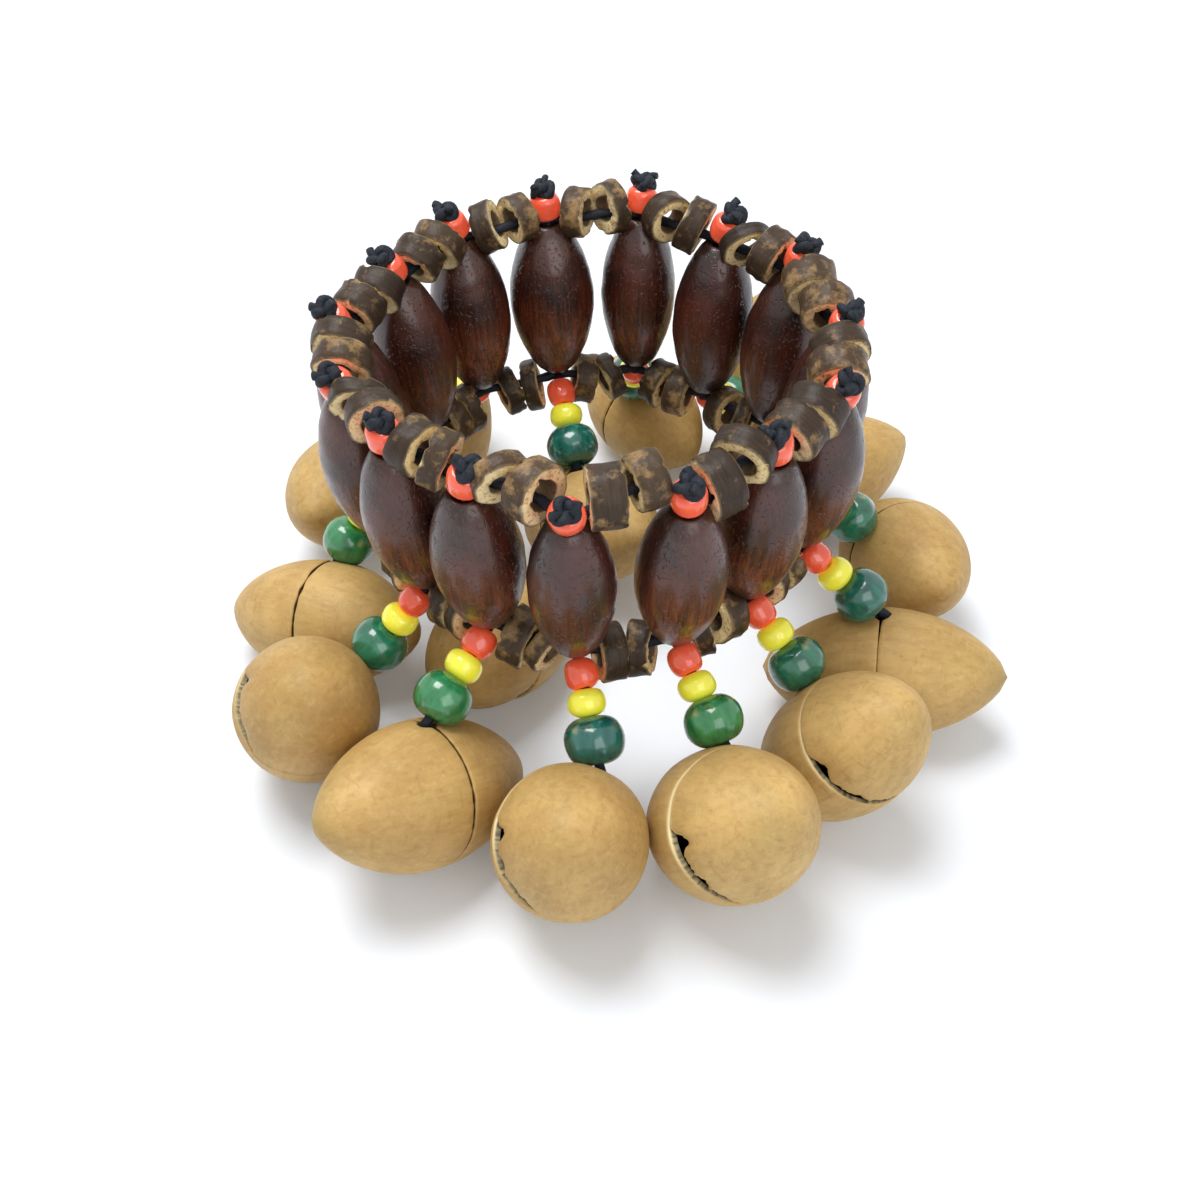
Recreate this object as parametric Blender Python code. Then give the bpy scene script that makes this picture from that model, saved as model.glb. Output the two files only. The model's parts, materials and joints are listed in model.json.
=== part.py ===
"""Nutshell shaker bracelet: a band of wooden spindle beads with nutshells hanging on bead strands.

All sizes below are millimetres and degrees. The table is z = 0, and the band stands on its nutshells.
"""
import math
from collections import namedtuple

import bmesh
import bpy
from mathutils import Matrix, Vector

MM = 0.001
MERGE = 0.0001
SHARP_ANGLE = 40.0
FLAT_ANGLE = 0.2

# Cord and fits
CORD_DIAMETER = 1.4
RING_CORD_DIAMETER = 1.3
CLEARANCE = 0.35
FUSE_DEPTH = 0.35
CORD_SEGMENTS = 5

# Wooden spindle beads, which make the band
SPINDLE_COUNT = 15
SPINDLE_LENGTH = 22.7
SPINDLE_DIAMETER = 11.5
SPINDLE_END = 4.0
SPINDLE_BORE = 2.5
SPINDLE_GAP = 1.15
SPINDLE_LEAN = 7.0
SPINDLE_SWELL = 0.9
SPINDLE_SEGMENTS = 10
SPINDLE_ROWS = 4
BAND_HEIGHT = 27.0
BAND_TURN = 99.2
CROSSING = 1.3

# Coconut-shell tubes, two between spindles on each ring cord
TUBE_DIAMETER = 7.3
TUBE_HOLE = 3.3
TUBE_GAP = 0.4
TUBE_TILT = 7.0
TILT_START = 40.0
TILT_STEP = 137.5
TUBE_SEGMENTS = 6

# Beads, as (length, diameter, width of the flat end)
TOP_BEAD = (3.4, 4.4, 2.8)
RED_BEAD = (3.5, 4.4, 2.8)
YELLOW_BEAD = (3.2, 5.0, 2.8)
GREEN_BEAD = (5.5, 7.9, 2.8)
BEAD_SWELL = 0.8
BEAD_ROWS = 3
BEAD_SEGMENTS = 7

# Knot on top of each upright cord
KNOT_DIAMETER = 3.2
KNOT_HEIGHT = 2.6

# Strand and nutshell
RED_BEAD_DROP = 1.15
NUT_DROP = 0.8
NUT_LENGTH = 32.6
NUT_DIAMETER = 19.8
NUT_WALL = 1.2
NUT_FULLNESS = 2.0
NUT_POINT = 0.6
NUT_ROWS = (0.0, 0.45, 0.82)
CORD_HOLE = 4.0
MOUTH_GAPE = 2.2
MOUTH_HALF_ARC = 68.0
MOUTH_ARC_STEPS = 2
SIDE_ARC_STEPS = 3

# Finishes, with linear colours
Finish = namedtuple("Finish", "colour roughness metallic")
LACQUER = Finish((0.055, 0.017, 0.012), 0.3, 0.0)
COCONUT = Finish((0.12, 0.075, 0.045), 0.6, 0.0)
BEAD_RED = Finish((0.75, 0.1, 0.04), 0.2, 0.0)
NUTSHELL = Finish((0.5, 0.3, 0.11), 0.55, 0.0)

# How each spindle strays from an even ring: outwards in millimetres, round the ring in degrees, its share of
# the usual width, and how many degrees its top bead and knot lean out further than the spindle
Stray = namedtuple("Stray", "out turn width lean")
STRAYS = (
    Stray(-0.5, 1.0, 1.08, 0), Stray(1.0, 1.0, 0.95, 8), Stray(-1.0, 1.0, 1.00, 0),
    Stray(1.0, 2.5, 1.00, 0), Stray(1.0, -1.0, 1.00, 0), Stray(1.0, -1.0, 1.00, 14),
    Stray(-0.5, -1.0, 1.00, 0), Stray(1.0, -1.5, 1.00, 8), Stray(1.0, -2.0, 0.96, 30),
    Stray(-1.0, -2.0, 1.02, 0), Stray(-1.0, -1.5, 1.00, 0), Stray(0.0, -0.5, 1.00, 14),
    Stray(1.0, 0.0, 1.00, 8), Stray(-1.0, 0.0, 1.00, 4), Stray(0.5, 0.5, 1.00, 0),
)

# How each strand and its nut lie: the strand's turn from straight outwards, the nut's lift and turn off its
# strand, the roll of its long axis from level, its share of the usual size, how far it is stretched along its
# length, and -1 for a nut under the band
Lie = namedtuple("Lie", "aside lift twist roll size stretch side")
LIES = (
    Lie(2, -29, 12, 79, 0.95, 1.00, -1), Lie(15, -30, -54, 5, 0.87, 1.00, 1),
    Lie(4, 30, 4, 93, 1.00, 1.00, 1), Lie(2, -33, 45, 144, 0.92, 1.00, 1),
    Lie(12, 4, -23, -35, 0.93, 1.00, 1), Lie(0, -35, -56, 27, 0.95, 1.10, 1),
    Lie(3, 9, -20, 74, 0.97, 0.97, 1), Lie(7, -7, -22, 74, 1.05, 0.95, 1),
    Lie(17, 7, -38, 74, 1.03, 0.90, 1), Lie(-9, -33, 23, 119, 1.03, 1.05, 1),
    Lie(-18, 36, 22, 61, 1.02, 0.93, 1), Lie(-1, 17, -56, 165, 0.94, 1.00, -1),
    Lie(31, 18, 53, 11, 0.94, 1.02, 1), Lie(-7, 3, 45, 34, 0.94, 1.00, 1),
    Lie(0, 0, 0, 77, 1.00, 1.00, 1),
)
STEEPEST = 2.0
FLATTEST = 88.0
LEAN_HALVINGS = 30

UP = Vector((0.0, 0.0, 1.0))
PITCH_ANGLE = 360.0 / SPINDLE_COUNT
BELLY_RADIUS = (SPINDLE_DIAMETER + SPINDLE_GAP) / (2 * math.sin(math.radians(PITCH_ANGLE / 2)))
FOOT_TO_BELLY = CROSSING + SPINDLE_LENGTH / 2
FOOT_RADIUS = BELLY_RADIUS - math.sin(math.radians(SPINDLE_LEAN)) * FOOT_TO_BELLY
UPRIGHT_LENGTH = 2 * CROSSING + SPINDLE_LENGTH
STRAND_LENGTH = RED_BEAD_DROP + RED_BEAD[0] + YELLOW_BEAD[0] + GREEN_BEAD[0]


def spindle_radius(depth):
    """Radius of a spindle at a depth from its end."""
    swell = math.sin(math.pi * depth / SPINDLE_LENGTH) ** SPINDLE_SWELL
    return SPINDLE_END / 2 + (SPINDLE_DIAMETER - SPINDLE_END) / 2 * swell


def turned(profile, segments, closed=False):
    """Body of revolution about Z through (radius, height) points."""
    bm = bmesh.new()
    points = [bm.verts.new((radius, 0.0, height)) for radius, height in profile]
    pairs = list(zip(points, points[1:]))
    if closed:
        pairs.append((points[-1], points[0]))
    edges = [bm.edges.new(pair) for pair in pairs]
    bmesh.ops.spin(bm, geom=points + edges, axis=UP, cent=(0, 0, 0), angle=2 * math.pi,
                   steps=segments, use_merge=True)
    bmesh.ops.remove_doubles(bm, verts=bm.verts, dist=MERGE)
    bmesh.ops.recalc_face_normals(bm, faces=bm.faces)
    return bm


def frame(x_axis, z_axis, origin):
    """Matrix of a right-handed frame at origin, with its Z kept and its X squared up to it."""
    z = z_axis.normalized()
    x = (x_axis - z * x_axis.dot(z)).normalized()
    rotation = Matrix((x, z.cross(x), z)).transposed().to_4x4()
    return Matrix.Translation(origin) @ rotation


def barrel(bead, top):
    """Profile of a round-shouldered bead hanging from height top."""
    length, diameter, face = bead
    points = []
    for row in range(BEAD_ROWS + 1):
        angle = math.pi * row / BEAD_ROWS
        swell = math.sin(angle) ** BEAD_SWELL
        points.append((face / 2 + (diameter - face) / 2 * swell, top - length * (1 - math.cos(angle)) / 2))
    return points


def cylinder(diameter, start, end, crest):
    """Length of cord between two points, with an edge along its crest and a flat side opposite."""
    length = (end - start).length
    radius = diameter / 2
    bm = turned(((0, 0), (radius, 0), (radius, length), (0, length)), CORD_SEGMENTS)
    bm.transform(frame(crest, end - start, start))
    return bm


def knot_lump(centre, axis):
    """Rounded lump of knotted cord."""
    bm = bmesh.new()
    bmesh.ops.create_icosphere(bm, subdivisions=1, radius=0.5)
    stretch = Matrix.Diagonal((KNOT_DIAMETER, KNOT_DIAMETER, KNOT_HEIGHT, 1.0))
    bm.transform(frame(axis.orthogonal(), axis, centre) @ stretch)
    return bm


class Upright:
    """Foot, head and axis of one spindle's cord."""

    def __init__(self, number):
        stray = STRAYS[number % len(STRAYS)]
        angle = math.radians(BAND_TURN - PITCH_ANGLE * number + stray.turn)
        self.angle = angle
        self.width = stray.width
        self.outward = Vector((math.cos(angle), math.sin(angle), 0.0))
        self.foot = self.outward * (FOOT_RADIUS + stray.out) + UP * BAND_HEIGHT
        self.axis = self.leaning(SPINDLE_LEAN)
        self.head = self.foot + self.axis * UPRIGHT_LENGTH
        self.bead_foot = self.head + self.axis * (RING_CORD_DIAMETER / 2 + CLEARANCE)
        self.top_axis = self.leaning(SPINDLE_LEAN + stray.lean)

    def leaning(self, lean):
        """Direction that leans outwards from straight up."""
        return self.outward * math.sin(math.radians(lean)) + UP * math.cos(math.radians(lean))

    def along(self, distance):
        """Point on the cord over its foot."""
        return self.foot + self.axis * distance

    def above(self, distance):
        """Point over the foot of the top bead, where that bead and the knot are."""
        return self.bead_foot + self.top_axis * distance


def heading(angle):
    """Level direction at an angle from +X."""
    return Vector((math.cos(angle), math.sin(angle), 0.0))


def slanted(angle, slope):
    """Direction that leans from straight down by slope towards a level angle."""
    return heading(angle) * math.sin(slope) - UP * math.cos(slope)


class Pendant:
    """Place of one strand and its nut, leaning out until the nut rests on the table."""

    def __init__(self, number, upright, outline):
        self.lie = LIES[number % len(LIES)]
        self.pivot = upright.foot
        self.angle = upright.angle + math.radians(self.lie.aside) + (math.pi if self.lie.side < 0 else 0.0)
        steep, flat = math.radians(STEEPEST), math.radians(FLATTEST)
        for _ in range(LEAN_HALVINGS):
            middle = (steep + flat) / 2
            self.lean(middle)
            lowest = min((self.nut @ point).z for point in outline)
            steep, flat = (middle, flat) if lowest < 0 else (steep, middle)

    def lean(self, slope):
        """Set the strand's and the nut's frames for one slope of the strand."""
        self.direction = slanted(self.angle, slope)
        nut_angle = self.angle + math.radians(self.lie.twist)
        hang = slanted(nut_angle, slope + math.radians(self.lie.lift))
        level = UP.cross(heading(nut_angle))
        roll = math.radians(self.lie.roll)
        long_axis = level * math.cos(roll) + hang.cross(level) * math.sin(roll)
        bend = hang.angle(self.direction)
        self.cord_end = STRAND_LENGTH + NUT_DROP + GREEN_BEAD[2] / 2 * math.tan(bend)
        self.strand = frame(level, -self.direction, self.pivot)
        self.nut_pivot = self.pivot + self.direction * self.cord_end
        self.nut = frame(long_axis, -hang, self.nut_pivot)
        self.nut = self.nut @ nut_scale(self.lie)


def nut_scale(lie):
    """Matrix from the usual nut to one nut's own size and length."""
    return Matrix.Diagonal((lie.size * lie.stretch, lie.size, lie.size, 1.0))


def nut_angles():
    """Angles round the seam from the cord hole: the hole, the closed sides and the open mouth."""
    hole = math.degrees(CORD_HOLE / NUT_DIAMETER)
    mouth = 180.0 - MOUTH_HALF_ARC
    side = [hole + (mouth - hole) * step / SIDE_ARC_STEPS for step in range(SIDE_ARC_STEPS + 1)]
    lip = MOUTH_HALF_ARC / MOUTH_ARC_STEPS
    lips = [mouth + lip * step for step in range(1, 2 * MOUTH_ARC_STEPS)]
    return [0.0] + side + lips + [360.0 - angle for angle in reversed(side)]


def seam_opening(angle):
    """Half the width of the seam's opening at an angle from the cord hole."""
    if angle == 0.0:
        return CORD_HOLE / 2
    inside = MOUTH_HALF_ARC - abs(angle - 180.0)
    if inside <= MERGE:
        return 0.0
    return MOUTH_GAPE / 2 * math.sin(math.pi / 2 * inside / MOUTH_HALF_ARC)


def nut_mesh():
    """Outer skin of a nutshell: X is its long axis and the cord hole is at the origin, facing +Z."""
    bm = bmesh.new()
    angles = nut_angles()

    def point(side, share, angle):
        radius = NUT_DIAMETER / 2 * (1 - share ** NUT_FULLNESS) ** NUT_POINT
        turn = math.radians(angle)
        opening = seam_opening(angle) * (1 - share)
        x = side * (share * NUT_LENGTH / 2 + opening * (1 - share))
        return bm.verts.new((x, radius * math.sin(turn), radius * math.cos(turn) - NUT_DIAMETER / 2))

    seam = [point(1, 0.0, angle) for angle in angles]
    for side in (1, -1):
        first = seam
        if side < 0:
            first = [point(side, 0.0, a) if seam_opening(a) else vert for a, vert in zip(angles, seam)]
        rows = [first] + [[point(side, share, angle) for angle in angles] for share in NUT_ROWS[1:]]
        tip = bm.verts.new((side * NUT_LENGTH / 2, 0.0, -NUT_DIAMETER / 2))
        for inner, outer in zip(rows, rows[1:]):
            for i in range(len(angles)):
                j = (i + 1) % len(angles)
                bm.faces.new((inner[i], inner[j], outer[j], outer[i]))
        for i in range(len(angles)):
            bm.faces.new((rows[-1][i], rows[-1][(i + 1) % len(angles)], tip))
    bmesh.ops.recalc_face_normals(bm, faces=bm.faces)
    return bm


def spindle_mesh(width):
    """Turned spindle bead about Z, centred, with its bore, its outside at a share of the usual width."""
    bore = SPINDLE_BORE / 2
    outer = []
    for row in range(SPINDLE_ROWS + 1):
        depth = SPINDLE_LENGTH * row / SPINDLE_ROWS
        outer.append((spindle_radius(depth) * width, SPINDLE_LENGTH / 2 - depth))
    inner = [(bore, -SPINDLE_LENGTH / 2), (bore, SPINDLE_LENGTH / 2)]
    return turned(outer + inner, SPINDLE_SEGMENTS, closed=True)


def strand_mesh(cord_end):
    """Red, yellow and green bead on their cord, hanging down -Z from the pivot at the origin."""
    top = -RED_BEAD_DROP
    profile = [(0.0, top)]
    for bead in (RED_BEAD, YELLOW_BEAD, GREEN_BEAD):
        profile += barrel(bead, top)
        top -= bead[0]
    tip = -(cord_end + NUT_WALL / 2)
    profile += [(CORD_DIAMETER / 2, top), (CORD_DIAMETER / 2, tip), (0.0, tip)]
    return turned(profile, BEAD_SEGMENTS)


def tube_mesh():
    """Coconut-shell tube of unit length about Z, centred, with the middle of a flat side at -X."""
    outer, hole = TUBE_DIAMETER / 2, TUBE_HOLE / 2
    profile = ((outer, 0.5), (outer, -0.5), (hole, -0.5), (hole, 0.5))
    bm = turned(profile, TUBE_SEGMENTS, closed=True)
    bm.transform(Matrix.Rotation(math.pi - math.pi / TUBE_SEGMENTS, 4, "Z"))
    return bm


def tube_pair(start, end, offset, tilt):
    """Two tubes on the ring cord between two uprights, pushed off the cord by offset and tilted alike."""
    chord = end - start
    along = chord.normalized()
    wall = TUBE_HOLE / 2 * math.cos(math.pi / TUBE_SEGMENTS)
    cord = RING_CORD_DIAMETER / 2 * math.cos(math.pi / CORD_SEGMENTS)
    shift = wall - cord + FUSE_DEPTH
    depth = TUBE_DIAMETER / 2 - shift - CROSSING
    slack = TUBE_DIAMETER / 2 * math.tan(math.radians(TUBE_TILT))
    room = max(spindle_radius(max(depth, 0.0)) + CLEARANCE, TOP_BEAD[1] / 2 + CLEARANCE + slack)
    length = (chord.length - 2 * room - TUBE_GAP) / 2
    tubes = []
    for number in range(2):
        middle = start + along * (room + length / 2 + number * (length + TUBE_GAP)) + offset * shift
        bm = tube_mesh()
        bm.transform(Matrix.Diagonal((1, 1, length, 1)))
        turn = Matrix.Rotation(math.radians(tilt), 4, "X")
        bm.transform(frame(offset, along, middle) @ turn)
        tubes.append(bm)
    return tubes


def link_meshes(number, upright, following):
    """Upright cord with its knot and red bead, and its stretch of both ring cords with their tubes."""
    stop = CORD_DIAMETER / 2 + CLEARANCE
    cord_top = upright.bead_foot + upright.axis * 2 * FUSE_DEPTH
    meshes = [cylinder(CORD_DIAMETER, upright.foot, cord_top, upright.outward)]
    red = turned([(0.0, 0.0)] + barrel(TOP_BEAD, 0.0) + [(0.0, -TOP_BEAD[0])], BEAD_SEGMENTS)
    red.transform(frame(upright.outward, upright.top_axis, upright.above(TOP_BEAD[0])))
    meshes.append(red)
    knot_middle = upright.above(TOP_BEAD[0] + KNOT_HEIGHT / 2 - FUSE_DEPTH)
    meshes.append(knot_lump(knot_middle, upright.top_axis))
    tilt = TUBE_TILT * math.sin(math.radians(TILT_START + TILT_STEP * number))
    for start, end, offset, turn in ((upright.head, following.head, UP, tilt),
                                     (upright.foot, following.foot, -UP, -tilt)):
        along = (end - start).normalized()
        meshes.append(cylinder(RING_CORD_DIAMETER, start, end - along * stop, offset))
        meshes += tube_pair(start, end, offset, turn)
    return meshes


def material(name, finish):
    """Plain finish in the piece's own colour."""
    made = bpy.data.materials.new(name)
    made.use_nodes = True
    shader = made.node_tree.nodes["Principled BSDF"]
    shader.inputs["Base Color"].default_value = (*finish.colour, 1.0)
    shader.inputs["Roughness"].default_value = finish.roughness
    shader.inputs["Metallic"].default_value = finish.metallic
    return made


def add_object(name, bm, finish, parent, place=None):
    """One named object from a mesh in millimetres, with its origin at place."""
    bm.transform(Matrix.Scale(MM, 4))
    mesh = bpy.data.meshes.new(name)
    bm.to_mesh(mesh)
    bm.free()
    mesh.shade_smooth()
    mesh.set_sharp_from_angle(angle=math.radians(SHARP_ANGLE))
    mesh.materials.append(finish)
    piece = bpy.data.objects.new(name, mesh)
    bpy.context.scene.collection.objects.link(piece)
    piece.parent = parent
    if place is not None:
        metres = place.copy()
        metres.translation = place.translation * MM
        piece.matrix_basis = metres
    return piece


def fused(meshes):
    """One closed mesh from overlapping closed ones."""
    objects = []
    for bm in meshes:
        mesh = bpy.data.meshes.new("piece")
        bm.to_mesh(mesh)
        bm.free()
        piece = bpy.data.objects.new("piece", mesh)
        bpy.context.scene.collection.objects.link(piece)
        objects.append(piece)
    base = objects[0]
    for piece in objects[1:]:
        union = base.modifiers.new("union", "BOOLEAN")
        union.operation = "UNION"
        union.solver = "MANIFOLD"
        union.object = piece
    graph = bpy.context.evaluated_depsgraph_get()
    result = bmesh.new()
    result.from_object(base, graph)
    bmesh.ops.remove_doubles(result, verts=result.verts, dist=MERGE)
    bmesh.ops.triangulate(result, faces=result.faces)
    bmesh.ops.dissolve_limit(result, angle_limit=math.radians(FLAT_ANGLE), verts=result.verts,
                             edges=result.edges)
    bmesh.ops.triangulate(result, faces=result.faces)
    for piece in objects:
        bpy.data.objects.remove(piece)
    return result


def stand_on_origin(root, pieces):
    """Move the whole bracelet so that its box stands on the origin, centred."""
    bpy.context.view_layer.update()
    corners = [piece.matrix_world @ vertex.co for piece in pieces for vertex in piece.data.vertices]
    low = Vector(min(corner[i] for corner in corners) for i in range(3))
    high = Vector(max(corner[i] for corner in corners) for i in range(3))
    root.location = (-(low.x + high.x) / 2, -(low.y + high.y) / 2, -low.z)


def main():
    for old in list(bpy.data.objects):
        bpy.data.objects.remove(old)
    root = bpy.data.objects.new("bracelet", None)
    bpy.context.scene.collection.objects.link(root)
    wood = material("lacquered_wood", LACQUER)
    shell = material("coconut_shell_on_cord", COCONUT)
    beads = material("glass_and_wood_beads", BEAD_RED)
    nutshell = material("nutshell", NUTSHELL)
    outline_mesh = nut_mesh()
    outline = [vertex.co.copy() for vertex in outline_mesh.verts]
    outline_mesh.free()
    uprights = [Upright(number) for number in range(SPINDLE_COUNT)]
    pieces = []
    for number, upright in enumerate(uprights):
        label = f"{number + 1:02d}"
        following = uprights[(number + 1) % SPINDLE_COUNT]
        belly = frame(upright.outward, upright.axis, upright.along(FOOT_TO_BELLY))
        pieces.append(add_object("spindle_bead_" + label, spindle_mesh(upright.width), wood, root, belly))
        link = fused(link_meshes(number, upright, following))
        pieces.append(add_object("cord_link_" + label, link, shell, root))
        pendant = Pendant(number, upright, outline)
        hanging = strand_mesh(pendant.cord_end)
        strand = add_object("bead_strand_" + label, hanging, beads, root, pendant.strand)
        pieces.append(strand)
        skin = nut_mesh()
        skin.transform(nut_scale(pendant.lie))
        nut_place = frame(pendant.nut.col[0].to_3d(), pendant.nut.col[2].to_3d(), pendant.nut_pivot)
        nut = add_object("nut_shell_" + label, skin, nutshell, strand, pendant.strand.inverted() @ nut_place)
        wall = nut.modifiers.new("wall", "SOLIDIFY")
        wall.thickness = NUT_WALL * MM
        wall.offset = -1.0
        wall.use_even_offset = True
        pieces.append(nut)
    stand_on_origin(root, pieces)


main()
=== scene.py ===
"""Looks of the nutshell shaker bracelet: turned spindles, coconut rings, knotted cord, beads and nutshells.

Sizes are millimetres and angles degrees; a piece's mesh is made in its own frame and placed by the CAD frame.
"""
import json
import math
import random
from collections import namedtuple

import bpy
from mathutils import Matrix, Vector, noise


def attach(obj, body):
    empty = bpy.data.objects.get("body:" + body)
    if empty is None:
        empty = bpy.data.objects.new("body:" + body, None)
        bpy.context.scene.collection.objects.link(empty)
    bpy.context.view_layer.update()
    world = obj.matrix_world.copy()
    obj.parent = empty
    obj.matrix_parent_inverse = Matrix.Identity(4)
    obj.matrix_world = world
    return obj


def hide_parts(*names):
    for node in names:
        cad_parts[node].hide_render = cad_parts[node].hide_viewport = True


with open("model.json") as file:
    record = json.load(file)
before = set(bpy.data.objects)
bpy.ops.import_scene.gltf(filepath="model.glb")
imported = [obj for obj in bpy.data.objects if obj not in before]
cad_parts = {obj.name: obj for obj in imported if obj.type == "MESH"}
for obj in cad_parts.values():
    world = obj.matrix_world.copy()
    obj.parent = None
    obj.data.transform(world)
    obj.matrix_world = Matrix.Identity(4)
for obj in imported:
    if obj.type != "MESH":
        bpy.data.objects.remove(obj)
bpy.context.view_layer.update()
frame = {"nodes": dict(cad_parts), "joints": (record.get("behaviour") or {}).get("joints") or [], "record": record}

MM = 0.001
COUNT = 15
LABELS = [f"{number:02d}" for number in range(1, COUNT + 1)]
UP = Vector((0.0, 0.0, 1.0))
LEVEL = Vector((1.0, 1.0, 0.0))
RNG = random.Random(15)

# Sizes that the solids have too
CROSSING = 1.3
SPINDLE_LENGTH, SPINDLE_DIAMETER = 22.7, 11.5
TUBE_DIAMETER, TUBE_GAP = 7.3, 0.4
CORD_DIAMETER, RING_CORD_DIAMETER = 1.4, 1.3
NUT_WALL = 1.2
NUT_FULLNESS = 2.0
RED_BEAD_DROP = 1.15
UPRIGHT_LENGTH = 2 * CROSSING + SPINDLE_LENGTH

# Beads, and how round the shoulder of each is: 1 is a ball
Bead = namedtuple("Bead", "length diameter hole roundness")
TOP_BEAD = Bead(3.6, 4.5, 1.5, 0.62)
RED_BEAD = Bead(3.8, 4.3, 1.4, 0.78)
YELLOW_BEAD = Bead(3.4, 5.0, 1.4, 0.84)
GREEN_BEAD = Bead(6.0, 7.8, 2.0, 0.94)
STRAND_BEADS = (RED_BEAD, YELLOW_BEAD, GREEN_BEAD)

# The bore's share of a bead's hole, its rows of points, how far a strand's beads may tilt, and how far past
# the upper crossing and how high over the lower one a top bead starts
BORE_SHARE, BORE_ROWS = 0.92, (0.6, 0.0, -0.6)
BEAD_TILT = 7
TOP_BEAD_GAP = 0.4
BEAD_FOOT = UPRIGHT_LENGTH + TOP_BEAD_GAP

# How a green bead sits on its nut: radii of the bead's foot and of the nut beside its hole, and the gap
# between the two, which is below zero where the bead is seated in the nut
BEAD_CURVE, NUT_CURVE = 5.1, 9.7
NUT_GAP = -0.4

# How light and yellowish the green of each strand's wooden bead is
GREEN_TONES = (0.1, 0.3, 0.5, 0.2, 0.3, 0.1, 0.3, 0.9, 0.0, 0.8, 0.4, 0.5, 0.8, 0.5, 0.5)

# Spindles: end width, how full the shoulders are, how far each end reaches past the solid's, how far the
# whole rides up its cord, the rounding of the ends, the bore with its first row of points and its bevel, and
# the odd ones' shares of the usual width
SPINDLE_END, SPINDLE_SWELL = 4.8, 0.74
SPINDLE_REACH, SPINDLE_RISE = 0.55, 0.5
SPINDLE_SOFT = 0.4
SPINDLE_BORE, BORE_ROW, BORE_BEVEL = 2.5, 2.0, 0.3
SPINDLE_WIDTHS = {1: 1.08, 2: 0.95, 9: 0.96, 10: 1.02}

# Coconut rings: the hole's radius as a share of the diameter, from least to most, the rounding of the
# edges, the skin's thickness at them, and the rows of points on the skin and in the hole
TUBE_HOLES = (0.22, 0.27)
TUBE_SOFT, TUBE_SKIN = 0.2, 0.44
SKIN_ROWS, HOLE_ROWS = (-1.0, -0.5, 0.0, 0.5, 1.0), (1.0, 0.3, -0.3, -1.0)

# Their grooves and saw marks: how many to a millimetre, and how deep; how far apart in the noise the two
# faces are; and how rough a face has to be for a chip, and how deep chips go
GROOVES, GROOVES_ACROSS, GROOVE_DEPTH = 2.8, 0.2, 0.14
SAW_MARKS, SAW_DEPTH = 0.9, 0.2
FACES_APART = 9.0
CHIP_FROM, CHIP_DEPTH = 0.25, 1.4

# How their sizes differ, how much shorter a turned one is, the shortest, the room beside the uprights'
# beads, and how far the high ones stand inwards and the cord runs below the middle
TUBE_DIAMETERS, TUBE_LENGTHS = (0.95, 1.08), (0.88, 1.06)
TUBE_CROWDING, TUBE_SHORTEST = 0.4, 2.2
BEAD_ROOM = 0.1
TUBE_INWARD, CORD_SAG = 0.6, 0.9

# How far each top bead and its knot lean aside, how far the bead leans out further than its spindle, and
# for the two coconut rings after it on the upper cord, how far they turn outwards and how high they ride
ASIDES = (4, -4, -20, -14, -16, -20, -14, -6, 0, 16, 4, 20, 18, 26, 22)
TOP_LEANS = (0, 8, 0, 0, 0, 14, 0, 8, 30, 0, 0, 14, 8, 4, 0)
RING_TURNS = ((-25, 30), (-25, 10), (-35, 0), (-10, -20), (20, 10), (10, 0), (24, -10), (14, 0), (-18, -38),
              (18, 0), (-10, -30), (-15, -15), (0, 8), (10, 10), (-20, 18))
RING_RISES = ((1.0, 1.6), (1.0, 1.2), (1.0, 1.0), (1.2, 1.2), (1.3, 1.3), (1.4, 1.2), (2.4, 1.0), (3.6, 2.4),
              (2.4, 2.8), (2.2, 2.0), (1.8, 1.6), (1.4, 1.4), (1.2, 1.2), (1.2, 1.2), (0.8, 1.5))

# The same for all rings on the lower cord: how far they turn and lean at most, and how low they hang
LOWER_TURN, LOWER_LEAN, LOWER_DROP = 22, 16, 1.1

# Cord: the length of a ply's turn, and how far the plies stand out as a share of the radius; and the
# heights of the points of an upright's cord over its foot
CORD_PITCH, PLY_LOBE = 3.4, 0.13
UPRIGHT_STOPS = (-0.6, 8, 16, BEAD_FOOT + 1)

# Knots: size, cord, height over the top bead, and for the two tails their cord, their first two points, and
# how far out, how far aside and how high they end
KNOT_SIZE, KNOT_CORD, KNOT_RISE = 2.7, 1.35, 0.6
TAIL_CORD = 1.1
TAIL_START, TAIL_BEND = Vector((0.4, 0, 0.3)), Vector((1.1, 0.3, 0.9))
TAIL_REACH, TAIL_ASIDE, TAIL_HEIGHTS = 1.7, 0.6, (0.9, 1.5)

# How light each nutshell is, and how far apart in the noise one nut is from the next
NUT_TONES = (0.5, 0.5, 0.5, 0.5, 0.4, 0.4, 0.7, 0.8, 0.3, 0.3, 0.0, 0.3, 0.6, 0.4, 0.5)
NUTS_APART = 3.7

# How each nut is split: how far its seam lies before the middle, the mouth's turn from straight opposite
# the cord and its half arc in degrees, how far the near lip has broken back and in along the mouth, how
# much further it has at the hole in the mouth's keel end, the crack's half width, how pale the keel is,
# partly as a painted highlight along it, and how conical the valves are
Split = namedtuple("Split", "seam shift half_arc back bite hole crack pale point")
CRACKED = Split(0.0, 20, 36, 0.5, 0.0, 0.0, 0.17, 0.0, 0.76)
KEELED = Split(3.5, 44, 42, 0.4, 1.1, 1.2, 0.02, 1.0, 0.62)
SPLITS = {6: CRACKED._replace(crack=0.03, point=0.68),
          7: KEELED._replace(shift=40, half_arc=54, bite=0.6, hole=0.7, crack=0.06, pale=0.5),
          8: KEELED._replace(shift=50, hole=1.4),
          9: KEELED,
          11: KEELED._replace(shift=34, half_arc=36, bite=1.3, hole=1.5, pale=0.6),
          12: KEELED._replace(shift=10),
          13: CRACKED._replace(point=0.7)}

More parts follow.
